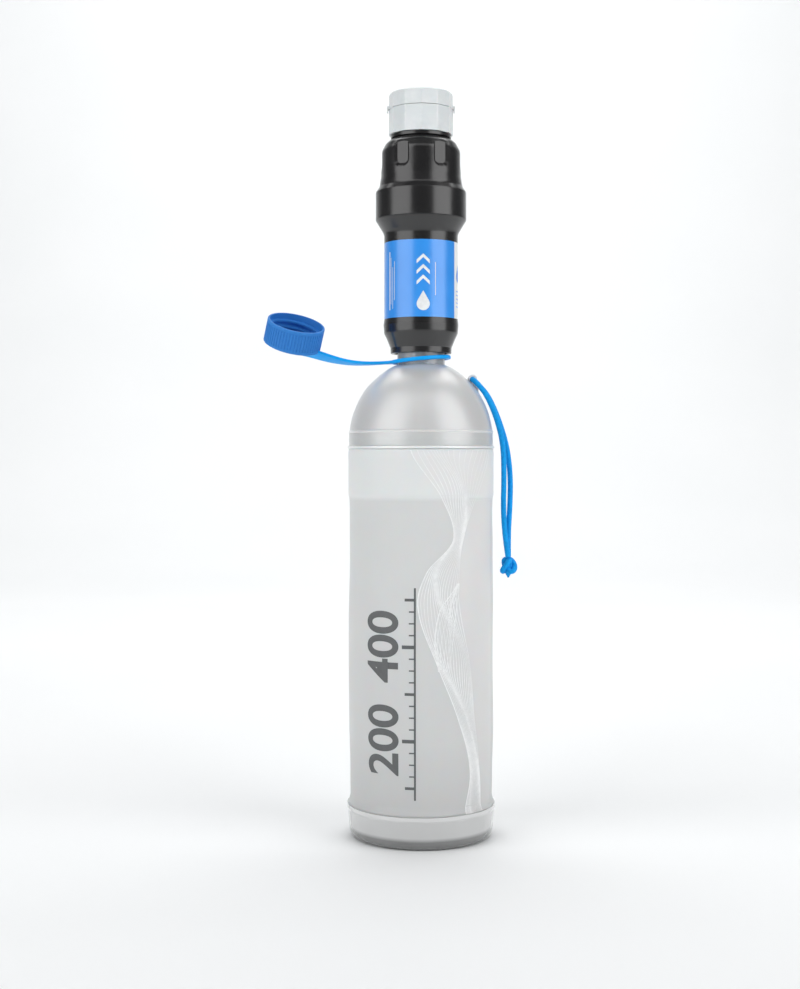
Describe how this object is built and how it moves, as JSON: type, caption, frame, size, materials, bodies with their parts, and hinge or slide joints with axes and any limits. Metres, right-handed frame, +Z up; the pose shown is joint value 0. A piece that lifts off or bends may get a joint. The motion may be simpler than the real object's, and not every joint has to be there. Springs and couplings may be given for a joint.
{
  "type": "squeeze water filter on collapsible bottle",
  "caption": "Hollow-fibre squeeze filter with push-pull outlet, screwed on a collapsible soft bottle with a tethered screw cap and a cord loop.",
  "frame": {"origin": "centre of the flat underside of the base cup, on the bottle's axis", "axes": "+Z up along the bottle towards the nozzle, +X towards the cord eyelet, -Y towards the printed front"},
  "size_m": [0.1332, 0.0772, 0.388],
  "materials": {
    "clear_plastic": "clear, glossy",
    "frosted_film": "soft frosted film",
    "frosted_plastic": "rigid, lightly frosted",
    "black_plastic": "satin black",
    "label_film": "satin printed film, blue",
    "seal_rubber": "matte",
    "cage_plastic": "moulded white",
    "potting_resin": "cast resin",
    "fibre_white": "matte white",
    "white_plastic": "satin white",
    "blue_plastic": "satin blue",
    "blue_cord": "braided"
  },
  "bodies": {
    "base": {"base_cup": "clear_plastic", "bottle_sleeve": "frosted_film"},
    "shoulder": {"bottle_shoulder": "frosted_plastic", "sleeve_ring": "frosted_plastic", "cord_leg_front": "blue_cord", "cord_leg_back": "blue_cord", "cord_knot": "blue_cord"},
    "gasket": {"inlet_gasket": "seal_rubber"},
    "filter": {"lower_housing": "black_plastic", "upper_housing": "black_plastic", "label_wrap": "label_film", "housing_oring": "seal_rubber", "potting_collar": "cage_plastic", "potting_block": "potting_resin", "fibre_cage": "cage_plastic", "fibre_bundle": "fibre_white", "outlet_stem": "white_plastic", "nozzle_oring": "seal_rubber"},
    "nozzle": {"push_pull_nozzle": "white_plastic"},
    "dust_cover": {"dust_cover": "white_plastic"},
    "tether_ring": {"tether_ring": "blue_plastic"},
    "tether_strap": {"tether_strap": "blue_plastic"},
    "tether_cap": {"tether_cap": "blue_plastic", "cap_liner": "seal_rubber"}
  },
  "joints": [
    {"name": "bottle_collapse", "type": "slide", "parent": "base", "child": "shoulder", "axis": [0, 0, -1], "range_m": [0, 0.13], "deforming": ["bottle_sleeve"]},
    {"name": "filter_lift", "type": "slide", "parent": "shoulder", "child": "gasket", "axis": [0, 0, 1], "range_m": [0, 0.00716]},
    {"name": "filter_screw", "type": "hinge", "parent": "gasket", "child": "filter", "pos_m": [0, 0, 0.26], "axis": [0, 0, 1], "range_deg": [0, 810]},
    {"name": "nozzle_pull", "type": "slide", "parent": "filter", "child": "nozzle", "axis": [0, 0, 1], "range_m": [0, 0.005]},
    {"name": "dust_cover_lift", "type": "slide", "parent": "nozzle", "child": "dust_cover", "axis": [0, 0, 1], "range_m": [0, 0.03]},
    {"name": "tether_swivel", "type": "hinge", "parent": "shoulder", "child": "tether_ring", "pos_m": [0, 0, 0.2482], "axis": [0, 0, 1], "continuous": true},
    {"name": "strap_flex", "type": "hinge", "parent": "tether_ring", "child": "tether_strap", "pos_m": [-0.0161, 0, 0.2481], "axis": [0, 1, 0], "range_deg": [-25, 40], "stiffness_Nm_per_rad": 0.02, "springref_deg": 10.31},
    {"name": "cap_spin", "type": "hinge", "parent": "tether_strap", "child": "tether_cap", "pos_m": [-0.0678, 0, 0.2562], "axis": [0.2252, -0.365, 0.9034], "continuous": true}
  ],
  "couplings": [
    {"joint": "filter_lift", "follows": "filter_screw", "m_per_rad": 0.00050611}
  ]
}
